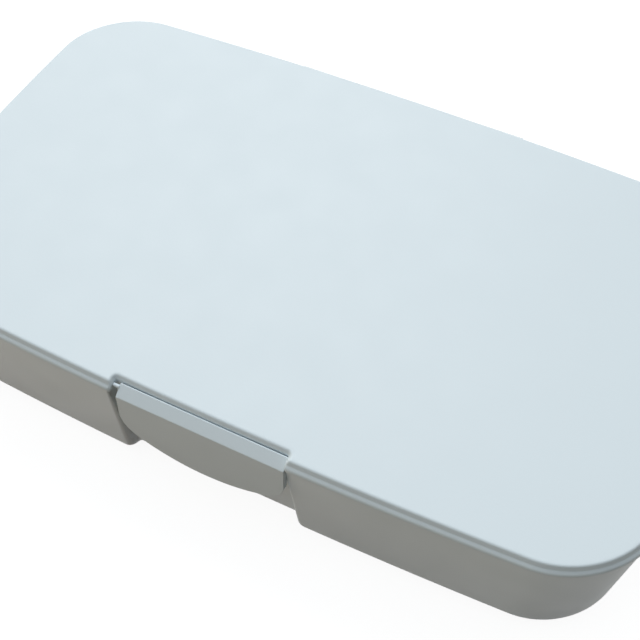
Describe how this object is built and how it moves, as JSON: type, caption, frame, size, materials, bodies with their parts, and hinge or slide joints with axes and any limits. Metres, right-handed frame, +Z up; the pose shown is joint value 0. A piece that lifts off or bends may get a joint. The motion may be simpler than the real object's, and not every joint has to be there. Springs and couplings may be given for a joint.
{
  "type": "pill box",
  "caption": "Flat white travel pill box: bowed rectangular tray with divided bays, gasketed lid on a rear pin hinge and a drop latch flap in a front notch.",
  "frame": {"origin": "middle of the tray's flat base, on the plane it stands on", "axes": "+X along the front edge to the right seen from the front, +Y from the latch flap to the rear hinge, +Z up through the lid"},
  "size_m": [0.13, 0.0793, 0.0265],
  "materials": {
    "shell": "satin moulded polypropylene",
    "divider": "satin moulded polypropylene",
    "seal": "soft matt silicone",
    "pin": "drawn wire"
  },
  "bodies": {
    "case": {"tray": "shell", "divider_1": "divider", "divider_2": "divider", "divider_3": "divider", "divider_4": "divider", "hinge_pin": "pin"},
    "cover": {"lid": "shell", "sealing_ring": "seal"},
    "latch": {"latch_flap": "shell"}
  },
  "joints": [
    {"name": "lid_hinge", "type": "hinge", "parent": "case", "child": "cover", "pos_m": [0, 0.0391, 0.0221], "axis": [-1, 0, 0], "range_deg": [0, 180]},
    {"name": "latch_hinge", "type": "hinge", "parent": "cover", "child": "latch", "pos_m": [0, -0.03645, 0.0253], "axis": [-1, 0, 0], "range_deg": [0, 110]}
  ]
}
